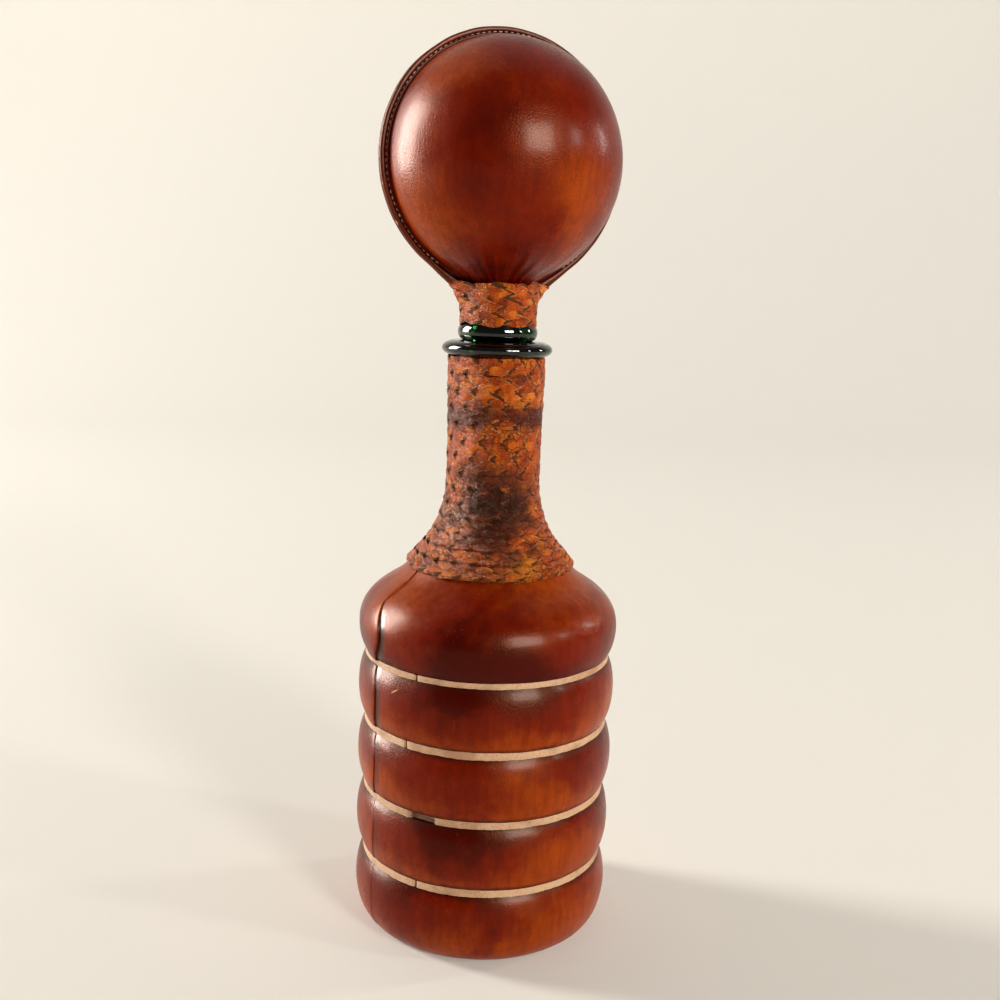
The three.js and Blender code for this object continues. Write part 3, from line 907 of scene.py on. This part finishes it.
def makeStrip(number):
    node = "groove_strip_%d" % number
    low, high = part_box(node)
    outer = high.x / mm
    inner = outer - strips["depth"]
    bottom, top = low.z / mm, high.z / mm
    if number == bottle["ribs"]:
        top -= covers["overhang"]
    face = [(outer, bottom + (top - bottom) * t / 6) for t in range(1, 6)]
    size = strips["cutRound"]
    points = roundCorner((inner, bottom), (outer, bottom), face[0], size) + face
    points += roundCorner(face[-1], (outer, top), (inner, top), size) + [(inner, top), (inner, bottom)]
    marks = {
        "edge": [0.0] * len(points),
        "skin": [1.0] * (len(points) - 2) + [0.0, 0.0],
    }
    bm = spinSection(points, strips["around"], True, marks)
    edge = bm.verts.layers.float["edge"]
    skin = bm.verts.layers.float["skin"]
    middle = (bottom + top) / 2
    jointHalf, jointDepth = strips["jointCut"]
    lostStrip, lostFrom, lostTo = strips["lost"]
    ends = strips["lostEnds"]
    for vert in bm.verts:
        if vert[skin] < 0.5:
            continue
        radius, angle, height = polar(vert)
        x, y = vert.co.x / (radius * mm), vert.co.y / (radius * mm)
        upper = (height - middle) / (top - middle)
        radius += strips["fray"] * ripple(x * 45, y * 45, upper * 2 + number * 7)
        above = upper > 0
        height += strips["fray"] * 1.3 * upper * ripple(x * 60, y * 60, number * 11 + 5 * above)
        height += strips["waver"] * upper * ripple(x * 7, y * 7, number * 17 + 9 * above)
        joint = strips["joints"].get(number)
        if joint and abs(angle - joint) < jointHalf:
            radius -= jointDepth
            vert[edge] = 1.0
        if number == lostStrip:
            gone = smooth(angle, lostFrom, lostFrom + ends) * (1 - smooth(angle, lostTo - ends, lostTo))
            sliver = smooth(upper, 0.1, 0.7) * smooth(angle - lostFrom, *strips["sliverFrom"])
            radius -= gone * (strips["lostDepth"] - strips["sliver"] * sliver)
            vert[edge] = max(vert[edge], gone * (0.8 - 0.25 * sliver))
        vert.co = Vector((x * radius, y * radius, height)) * mm
    finishPiece(bm, "raw_strip_%d" % number, rawLeather, "bottle", [node], 60)


for stripNumber in (1, 2, 3, 4):
    makeStrip(stripNumber)
print("strips made")

# plaits: three flat laces each, folded over at the plait's edges and wound round the neck and the stem
neckPlait = {
    "pitch": 6.08,  # from one course to the next
    "width": 6.0,
    "lace": 4.5,
    "thick": 0.75,
    "weave": 0.64,  # how far a lace rises and dips
    "tilt": -0.15,  # how far its trailing edge stands up
    "droop": 0.16,  # how far its edges bend down on the lace below
    "wander": 0.25,  # how far a course strays from its level
    "uneven": 0.30,  # how much wider or narrower it gets
    "narrow": 0.16,  # how much wider or narrower each lace gets
    "slant": 0.35,  # how much sooner one edge of a lace dives than the other
    "slack": 1.4,  # how far a lace slips along the plait
    "stride": 21.0,  # length of one full weave
    "seat": 2.25,  # middle of the plait over what it wraps
    "turns": 14,
    "start": 11.3,  # middle of the lowest course from the shoulder's turn
    "startAngle": 115.0,
    "climb": 70.0,  # degrees, at the rear, in which a course climbs to the next
    "ends": (0.9, 9.0),  # how deep the laces' ends are tucked, and over what length
    "crinkle": 0.26,
    "step": 0.62,
    "across": 8,
    "seed": 0.0,
}
stemPlait = dict(
    neckPlait, pitch=4.9, width=5.2, lace=3.8, weave=0.6, tilt=-0.14, droop=0.12, wander=0.7, uneven=0.65,
    slack=2.2, stride=25.0, seat=1.6, turns=3, start=8.6, climb=42.0, step=0.5, across=10, seed=40.0)


def placeIn(run, distance):
    i = min(max(bisect_right(run, distance) - 1, 0), len(run) - 2)
    return i, (distance - run[i]) / (run[i + 1] - run[i])


def pointAt(points, run, distance):
    i, t = placeIn(run, distance)
    a, b = Vector(points[i]), Vector(points[i + 1])
    return a.lerp(b, t), (b - a).normalized()


def courseTravel(settings, turned):
    course, rest = divmod(turned, 360.0)
    climbed = smooth(rest, 360.0 - settings["climb"], 360.0)
    return settings["start"] + settings["pitch"] * (course + climbed)


def plaitTable(settings, points, run):
    count = settings["turns"] * 72
    table = [0.0]
    for i in range(count):
        turned = 360.0 * settings["turns"] * (i + 0.5) / count
        radius = pointAt(points, run, courseTravel(settings, turned))[0].x
        table.append(table[-1] + radius * 2 * math.pi * settings["turns"] / count)
    return table


def turnedAt(settings, table, length):
    i, t = placeIn(table, length)
    return 360.0 * settings["turns"] * (i + t) / (len(table) - 1)


def makePlait(name, node, body, settings, points, lift, swell):
    run = measured(points)
    table = plaitTable(settings, points, run)
    plait = dict(settings, points=points, run=run, table=table, lift=lift, swell=swell)
    total = table[-1]
    steps = int(total / settings["step"])
    for strand in range(3):
        bm = bmesh.new()
        uvs = bm.loops.layers.uv.new("lace")
        deep = bm.verts.layers.float.new("deep")
        bmesh.ops.create_grid(bm, x_segments=steps, y_segments=settings["across"], size=0.5)
        shares = {vert: (vert.co.x + 0.5, vert.co.y * 2) for vert in bm.verts}
        for face in bm.faces:
            for loop in face.loops:
                share, side = shares[loop.vert]
                loop[uvs].uv = (share * total, side * 0.5 + 0.5 + strand * 3)
        for vert, (share, side) in shares.items():
            vert[deep] = layLace(vert, share * total, side, strand, plait)
        sheet = bm.verts[:] + bm.edges[:] + bm.faces[:]
        bmesh.ops.solidify(bm, geom=sheet, thickness=settings["thick"] * mm)
        bmesh.ops.recalc_face_normals(bm, faces=bm.faces)
        finishPiece(bm, "%s_%d" % (name, strand + 1), laceLeather, body, [node], 48)


def layLace(vert, length, side, strand, plait):
    seed = plait["seed"] + strand * 13.7
    width = plait["width"]
    total = plait["table"][-1]
    slope = 2 * width / plait["stride"]
    lean = math.atan(slope)
    slack = plait["slack"] * (ripple(length * 0.024, seed, 1.0) + 0.4 * ripple(length * 0.11, seed, 8.0))
    half = plait["lace"] / 2 * (1 + plait["narrow"] * ripple(length * 0.16, seed, 4.0))
    middle = slope * (length + slack) + strand * 2 * width / 3
    own = middle + side * half * math.cos(lean)
    place = length - side * half * math.sin(lean)
    # fold the straight lace back at both edges of the plait
    rest = own / width % 2.0
    across = width * (rest - 0.5 if rest < 1 else 1.5 - rest)
    across *= 1 + plait["uneven"] * ripple(length * 0.10, seed, 9.0)
    layer = middle / width + plait["slant"] * (own - middle) / width
    rise = plait["weave"] * math.sin(2 * math.pi * layer)
    rise += plait["tilt"] * side - plait["droop"] * side * side
    crinkle = plait["crinkle"] * ripple(length * 0.5, seed + side * 1.3, 2.0)
    crinkle += plait["crinkle"] * 0.6 * ripple(length * 1.2, seed + side * 2.1, 5.0)
    turned = turnedAt(plait, plait["table"], min(max(place, 0.0), total))
    travel = courseTravel(plait, turned) + across + plait["wander"] * ripple(length * 0.09, seed, 7.0)
    spot, along = pointAt(plait["points"], plait["run"], travel)
    tuck, tuckLength = plait["ends"]
    tuck *= 1 - smooth(min(length, total - length), 0.0, tuckLength)
    out = plait["seat"] + rise + crinkle + plait["lift"](travel) - tuck
    angle = math.radians(plait["startAngle"] + turned)
    height = spot.y - along.x * out
    radius = plait["swell"](angle, spot.x + along.y * out, height)
    vert.co = Vector((math.cos(angle) * radius, math.sin(angle) * radius, height)) * mm
    # how deep the lace dips, which paints shade into its colour
    return smooth(-rise / plait["weave"], 0.0, 0.55)


def neckLift(travel):  # over the shoulder's edge at the foot, and a little more towards the ring
    return 1.3 * (1 - smooth(travel, 11.0, 27.0)) + 0.5 * smooth(travel, 62.0, 90.0)


def noSwell(angle, radius, height):
    return radius


# height and reach of the flange's ends, which the stem's plait goes round
stemFlare = [(233.0, 14.2), (239.3, 14.4), (243.6, 16.2), (245.8, 17.4), (248.0, 18.9), (250.6, 21.5)]


def stemSwell(angle, radius, height):
    tip = stemFlare[0][1]
    for (lowAt, low), (highAt, high) in zip(stemFlare, stemFlare[1:]):
        if height >= lowAt:
            tip = low + (high - low) * min((height - lowAt) / (highAt - lowAt), 1.0)
    tip += radius - stemFlare[0][1]
    wide = math.acos(min(radius / max(tip, radius), 1.0))
    away = math.acos(min(abs(math.cos(angle)), 1.0))
    return radius / math.cos(max(wide - away, 0.0))


# leather under the neck's laces, seen only between them, a little darkened as painted shade
# deep: painted shade under the laces
lining = {"start": 13.2, "shortOf": 5, "inner": 0.3, "outer": 2.15, "deep": 0.3, "around": 96}


def makeLining():
    run = measured(neckRoute)
    end = run[-1] - lining["shortOf"]
    route = [point for point, distance in zip(neckRoute, run) if lining["start"] <= distance <= end]
    points = pushOut(route, lining["outer"]) + pushOut(route, lining["inner"])[::-1]
    bm = spinSection(points, lining["around"], True, {"deep": [lining["deep"]] * len(points)})
    uvs = bm.loops.layers.uv.new("lace")
    for face in bm.faces:
        for loop in face.loops:
            loop[uvs].uv = (math.atan2(loop.vert.co.y, loop.vert.co.x) * 20, 0.5)
    finishPiece(bm, "neck_plait_lining", laceLeather, "bottle", ["neck_plait"])


neckRise = bottle["neckStraight"] + 5  # the route runs on past the ring's foot
neckRoute = flareLine + [(bottle["neck"], neckFoot[1] + neckRise * t / 6) for t in range(1, 7)]
makePlait("neck_plait_lace", "neck_plait", "bottle", neckPlait, neckRoute, neckLift, noSwell)
makeLining()
stemFoot = lipTop + 0.2
stemWidths = [(12.2, -6), (12.2, 0), (12.4, 8), (13.6, 17), (17.0, 30)]
stemRoute = [(radius, stemFoot + rise) for radius, rise in stemWidths]
makePlait("stem_plait_lace", "stem_plait", "stopper", stemPlait, stemRoute, lambda travel: 0.0, stemSwell)
print("plaits made")

# ball stopper: two formed halves with a flange, sewn near the ball
ball = {
    "leather": 1.6,
    "flangeLeather": 1.5,
    "seamGap": 0.3,
    "around": 320,
    "domePoints": 44,
    "webAngle": 50.0,  # degrees under the level where the flange leaves its circle
    "webRun": 30.0,  # degrees in which it then runs straight on
    "webEnd": (74.0, 77.5),  # degrees under the level where the flange ends beside the stem
    "webCut": 2.4,  # how far it is cut back there
    "rimWaver": 0.18,
    "flangeDark": (0.35, 0.5),  # how much darker the flange is all over, and the painted shade in its sewn groove
    # gathered leather from the ball down into the stem
    "tail": [
        (10.7, 234.2), (12.0, 234.2), (12.3, 243.0), (12.5, 246.5), (13.7, 249.2),
        (17.0, 251.5), (20.5, 253.5), (18.0, 253.2), (13.4, 250.4), (10.7, 246.0),
    ],
    "domeEnd": 87.2,  # degrees from the pole of a half to the root of its flange
    "creases": 0.38,
    "creasesTo": (18, 58),  # degrees from the ball's lowest point in which the creases end
    "creaseShading": 0.45,  # how much painted shade in their hollows and painted light on their ridges
    "swell": 0.22,
    "swellFrom": (2.0, 9.0),  # mm from the seam in which the unevenness begins
    "stitchPitch": 2.15,
    "stitchIn": 1.0,  # from the ball out to the stitches
    "stitch": (0.26, 0.2, 0.72),
    "stitchesTo": 56.0,  # degrees under the level where the stitches end
}
# dye of the ball, and its lighter and darker patches: direction from its middle, reach in degrees, amount
ballDyeBase = 0.52
ballDye = [
    ((0.35, -0.91, -0.19), 17.0, 0.46),
    ((0.31, -0.77, -0.55), 14.0, 0.30),
    ((0.17, -0.85, -0.50), 9.0, -0.22),
    ((-0.77, -0.25, -0.58), 26.0, 0.42),
    ((-0.63, -0.33, 0.70), 22.0, 0.40),
    ((-0.81, -0.58, 0.12), 18.0, 0.12),
    ((-0.46, -0.86, 0.20), 24.0, -0.24),
    ((-0.53, -0.80, -0.27), 14.0, -0.26),
    ((-0.15, -0.42, -0.89), 20.0, -0.50),
    ((0.10, 0.44, -0.89), 22.0, -0.45),
    ((0.36, -0.65, 0.67), 24.0, -0.12),
    ((0.45, 0.80, 0.25), 30.0, 0.30),
    ((-0.40, 0.75, -0.45), 30.0, 0.25),
    ((-0.30, 0.85, 0.35), 26.0, -0.30),
]


def ballDyeAt(out):
    value = ballDyeBase
    for direction, reach, amount in ballDye:
        apart = math.degrees(out.angle(Vector(direction)))
        value += amount * math.exp(-(apart / reach) ** 2)
    return value


ballLow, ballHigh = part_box("ball_cover_front")
ballRadius = -ballLow.y / mm
flangeRadius = ballHigh.x / mm
ballMiddle = ballHigh.z / mm - flangeRadius
flangeFace = ball["seamGap"] / 2 + ball["flangeLeather"]
stitchRing = ballRadius + ball["stitchIn"]


def webReach(x, z):
    under = math.degrees(math.atan2(-z, abs(x)))
    past = min(max(under - ball["webAngle"], 0.0), ball["webRun"])
    start, end = ball["webEnd"]
    reach = flangeRadius / math.cos(math.radians(past))
    return reach + (flangeRadius - ball["webCut"] - reach) * smooth(under, start, end)


def ballSection():
    half = ball["seamGap"] / 2
    points = arcPoints((0, 0), (ballRadius, ballRadius), 90, 90 - ball["domeEnd"], ball["domePoints"])
    marks = [0.0] * len(points)
    root, face, groove, rim = ballRadius, flangeFace, stitchRing, flangeRadius
    # the root of the flange, the groove of the stitches, the cut rim and the seam's face, each with its wear
    rows = [
        (root - 0.1, face + 0.25, 0.0), (root + 0.15, face - 0.1, 0.0),
        (root + 0.5, face + 0.02, 0.35), (groove - 0.25, face - 0.1, 0.0),
        (groove, face - 0.45, 0.0), (groove + 0.3, face - 0.1, 0.0),
        (groove + 0.6, face + 0.06, 0.3), (rim - 0.6, face + 0.04, 0.5),
        (rim - 0.25, face - 0.12, 0.8), (rim - 0.05, face - 0.4, 0.9),
        (rim, face - 0.8, 0.9), (rim - 0.05, half + 0.3, 0.6),
        (rim - 0.3, half, 1.0), (root, half, 0.5),
    ]
    inner = root - ball["leather"]
    rows += [(out, max(up, half), 0.5) for out, up in arcPoints((0, 0), (inner, inner), 0.25, 90, 16)]
    return points + [row[:2] for row in rows], marks + [row[2] for row in rows]


def gatherAt(around):
    fold = ripple(math.cos(around) * 9, math.sin(around) * 9, 2)
    return fold + 0.7 * ripple(math.cos(around) * 19, math.sin(around) * 19, 5)


def makeBallHalf(half, side):
    points, marks = ballSection()
    bm = spinSection(points, ball["around"], False, {"edge": marks})
    dyeAndShading = bm.verts.layers.float.new("dyeAndShading")
    # stand the spun half up: its axis from +Z to the front or the rear
    upright = Matrix.Rotation(math.radians(-90 * side), 3, "X")
    bmesh.ops.rotate(bm, verts=bm.verts, cent=(0, 0, 0), matrix=upright)
    root = ballRadius - 0.3
    flangeDark, grooveDark = ball["flangeDark"]
    for vert in bm.verts:
        x, y, z = vert.co / mm
        flat = math.hypot(x, z)
        darker = 0.0
        if flat > root and abs(y) < ball["flangeLeather"] + ball["seamGap"] + 0.4:
            grown = root + (flat - root) * (webReach(x, z) - root) / (flangeRadius - root)
            grown += ball["rimWaver"] * ripple(x * 0.12, z * 0.12, 3) * smooth(flat, ballRadius, flangeRadius)
            x, z = x * grown / flat, z * grown / flat
            # darker flange, with painted shade in the sewn groove
            darker = flangeDark + grooveDark * math.exp(-((flat - stitchRing) / 0.5) ** 2)
        elif vert.co.length / mm > ballRadius - 0.6:
            out = Vector((x, y, z)).normalized()
            near = 1 - smooth(math.degrees(math.acos(-out.z)), *ball["creasesTo"])
            fold = gatherAt(math.atan2(y, x))
            rise = ball["creases"] * near * fold
            swell = ball["swell"] * smooth(abs(y), *ball["swellFrom"])
            rise += swell * ripple(x * 0.045, y * 0.045, z * 0.045)
            x, y, z = Vector((x, y, z)) + out * rise
            # painted shade in the crease hollows and painted light on their ridges
            darker = -ball["creaseShading"] * near * fold
        vert[dyeAndShading] = ballDyeAt(Vector((x, y, z)).normalized()) - darker
        vert.co = Vector((x, y, z + ballMiddle)) * mm
    addTail(bm, side)
    bmesh.ops.recalc_face_normals(bm, faces=bm.faces)
    node = "ball_cover_" + half
    finishPiece(bm, "ball_%s_leather" % half, ballLeather, "stopper", [node], 55)


def addTail(bm, side):
    middle = Vector((0, 0, ballMiddle))
    dyeAndShading = bm.verts.layers.float["dyeAndShading"]
    before = set(bm.verts)
    tail = [bm.verts.new((-side * radius * mm, 0, height * mm)) for radius, height in ball["tail"]]
    bmesh.ops.spin(bm, geom=[bm.faces.new(tail)], cent=(0, 0, 0), axis=(0, 0, 1), dvec=(0, 0, 0),
                   angle=math.pi * 0.99, steps=90, use_duplicate=False)
    for vert in bm.verts:
        if vert in before:
            continue
        radius = polar(vert)[0]
        fold = gatherAt(math.atan2(vert.co.y, vert.co.x))
        grown = 1 + ball["creases"] * fold * smooth(radius, 12.5, 15.0) / radius
        vert.co.x *= grown
        vert.co.y *= grown
        # painted shade and light of the creases
        vert[dyeAndShading] = ballDyeAt(vert.co / mm - middle) + ball["creaseShading"] * fold


def makeStitches(half, side):
    pitch = math.degrees(ball["stitchPitch"] / stitchRing)
    span = 180 + 2 * ball["stitchesTo"]
    count = int(span / pitch)
    size = Matrix.Diagonal([value * mm for value in ball["stitch"]]).to_4x4()
    bm = bmesh.new()
    for i in range(count + 1):
        around = math.radians(-ball["stitchesTo"] + span * i / count)
        x, z = math.cos(around) * stitchRing, ballMiddle + math.sin(around) * stitchRing
        spot = Vector((x, -side * (flangeFace + 0.02), z)) * mm
        pose = Matrix.Translation(spot) @ Matrix.Rotation(-around, 4, "Y") @ size
        bmesh.ops.create_uvsphere(bm, u_segments=6, v_segments=4, radius=1.0, matrix=pose)
    finishPiece(bm, "flange_stitches_" + half, waxedThread, "stopper")


makeBallHalf("front", 1)
makeBallHalf("rear", -1)
makeStitches("front", 1)
makeStitches("rear", -1)
print("ball made")

# cork and sole
cork = {"taper": 0.6, "hole": 4.8, "holeDepth": 18.3, "round": 0.8, "around": 96, "pits": 0.10}


def wearAway(bm, start, depth):
    for vert in bm.verts:
        flat = polar(vert)[0]
        if flat > start:
            kept = 1 - depth(vert.co) / flat
            vert.co.x *= kept
            vert.co.y *= kept


def makeCorkPiece():
    low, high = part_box("stopper_cork")
    bottom, top, radius = low.z / mm, high.z / mm, high.x / mm
    lower = radius - cork["taper"]
    side = [(lower + cork["taper"] * t / 12, bottom + (top - bottom) * t / 12) for t in range(1, 12)]
    points = [(0.0, bottom)] + roundCorner((0, bottom), (lower, bottom), side[0], cork["round"]) + side
    points += roundCorner(side[-1], (radius, top), (cork["hole"], top), cork["round"])
    points += [(cork["hole"], top), (cork["hole"], top - cork["holeDepth"]), (0.0, top - cork["holeDepth"])]
    bm = spinSection(points, cork["around"], False)
    wearAway(bm, cork["hole"] + 1, lambda at: max(ripple(*(at * 420)), 0.0) * cork["pits"] * 2)
    finishPiece(bm, "mouth_cork", corkBark, "cork", ["stopper_cork"], 50)


sole = {"round": 0.5, "around": 144, "wear": 0.12, "wornRim": 0.9}


def makeSole():
    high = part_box("base_sole")[1]
    radius, top = high.x / mm, high.z / mm
    points = [(0.0, 0.0)] + [(radius * t / 6, 0.0) for t in range(1, 6)]
    points += roundCorner(points[-1], (radius, 0.0), (radius, top), sole["round"])
    points += roundCorner((radius, 0.0), (radius, top), (0.0, top), sole["round"])
    points += [(radius * t / 6, top) for t in range(5, 0, -1)] + [(0.0, top)]
    bm = spinSection(points, sole["around"], False)
    wearAway(bm, radius - sole["wornRim"], lambda at: abs(sole["wear"] * ripple(at.x * 120, at.y * 120, 0)))
    finishPiece(bm, "sole_leather_disc", soleLeather, "bottle", ["base_sole"], 50)


makeCorkPiece()
makeSole()
for woodNode in ("stopper_core", "stopper_dowel"):
    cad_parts[woodNode].data.materials.clear()
    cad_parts[woodNode].data.materials.append(coreWood)
print("cork and sole made")

# plain pale floor that curves up behind, and soft window light from both sides
stage = {
    "floor": tone(0.88, 0.835, 0.750),
    "dull": 0.9,
    "gloss": 0.1,
    "glow": (0.14, 0.42),  # share of the floor's own paleness to the eye, in front and at the far wall
    "glowFrom": (-0.6, 1.5),
    "front": 3.0,
    "flatTo": -0.6,  # the floor is quite level in front of this
    "back": 1.5,
    "cove": 0.9,
    "wall": 2.5,
    "wide": 4.0,
}


def makeFloorPaint():
    material, place = startMaterial("paleFloor")
    shader = dress(stage["floor"], stage["dull"], extra={"Specular IOR Level": stage["gloss"]})
    path = put("LightPath").outputs
    seen = larger(larger(path["Is Camera Ray"], path["Is Glossy Ray"]), path["Is Transmission Ray"])
    turn = math.radians(shot["turn"])
    feeds = {0: place, 1: (-math.sin(turn), math.cos(turn), 0)}
    away = put("VectorMath", feeds, operation="DOT_PRODUCT").outputs["Value"]
    share = spread(away, *stage["glowFrom"], *stage["glow"])
    glow = put("Emission", {"Color": stage["floor"], "Strength": 1.0})
    both = put("MixShader", {0: times(seen, share), 1: shader.outputs[0], 2: glow.outputs[0]})
    feed(bench["tree"].nodes["Material Output"].inputs["Surface"], both.outputs[0])
    return material


def makeStage():
    back, cove, wide = stage["back"], stage["cove"], stage["wide"]
    outline = [(-stage["front"], 0.0), (stage["flatTo"], 0.0)]
    outline += arcPoints((back, cove), (cove, cove), -90, 0, 16)
    outline.append((back + cove, stage["wall"]))
    bm = bmesh.new()
    verts = [bm.verts.new((-wide, y, z)) for y, z in outline]
    edges = [bm.edges.new(pair) for pair in zip(verts, verts[1:])]
    grown = bmesh.ops.extrude_edge_only(bm, edges=edges)
    moved = [item for item in grown["geom"] if isinstance(item, bmesh.types.BMVert)]
    bmesh.ops.translate(bm, verts=moved, vec=(2 * wide, 0, 0))
    bmesh.ops.rotate(bm, verts=bm.verts, cent=(0, 0, 0),
                     matrix=Matrix.Rotation(math.radians(shot["turn"]), 3, "Z"))
    bmesh.ops.recalc_face_normals(bm, faces=bm.faces)
    meshObject(bm, "floor", makeFloorPaint())


# name, bearing in degrees to the right of the camera as seen from the bottle, height and distance in m,
# width and height in m, watts, and which it gives alone: light, gloss or, where empty, both
lamps = [
    ("leftLamp", -106, 1.01, 2.6, (0.50, 0.70), 78.0, "light"),
    ("leftWindow", -106, 0.96, 2.6, (1.2, 1.8), 270.0, "gloss"),
    ("frontLamp", 35, 1.18, 2.6, (0.52, 0.42), 34.0, "light"),
    ("frontWindow", 35, 1.12, 2.6, (1.2, 1.1), 140.0, "gloss"),
    ("rightWindowSide", 72, 1.12, 2.6, (0.24, 0.52), 16.0, ""),
    ("rightWindowRear", 107, 1.0, 2.6, (0.24, 0.52), 16.0, ""),
    ("ceiling", 180, 2.3, 0.8, (3.0, 2.2), 9.0, ""),
]
lampTone = (1.0, 0.97, 0.93)
lampAim = Vector((0, 0, 0.2))
sky = {"colour": tone(1.0, 0.96, 0.90), "strength": 0.12}


def placeLamps():
    for name, bearing, height, away, size, watts, only in lamps:
        data = bpy.data.lights.new(name, "AREA")
        data.shape = "RECTANGLE"
        data.size, data.size_y = size
        data.energy = watts
        data.color = lampTone
        angle = math.radians(shot["turn"] - 90 + bearing)
        spot = Vector((math.cos(angle) * away, math.sin(angle) * away, height))
        light = bpy.data.objects.new(name, data)
        light.location = spot
        light.rotation_euler = (lampAim - spot).to_track_quat("-Z", "Y").to_euler()
        light.visible_glossy = only != "light"
        light.visible_diffuse = only != "gloss"
        light.visible_transmission = only != "gloss"
        scene.collection.objects.link(light)


def makeWorld():
    world = bpy.data.worlds.new("softRoom")
    world.use_nodes = True
    inputs = world.node_tree.nodes["Background"].inputs
    inputs["Color"].default_value = sky["colour"]
    inputs["Strength"].default_value = sky["strength"]
    scene.world = world


makeStage()
placeLamps()
makeWorld()
print("stage and light made")
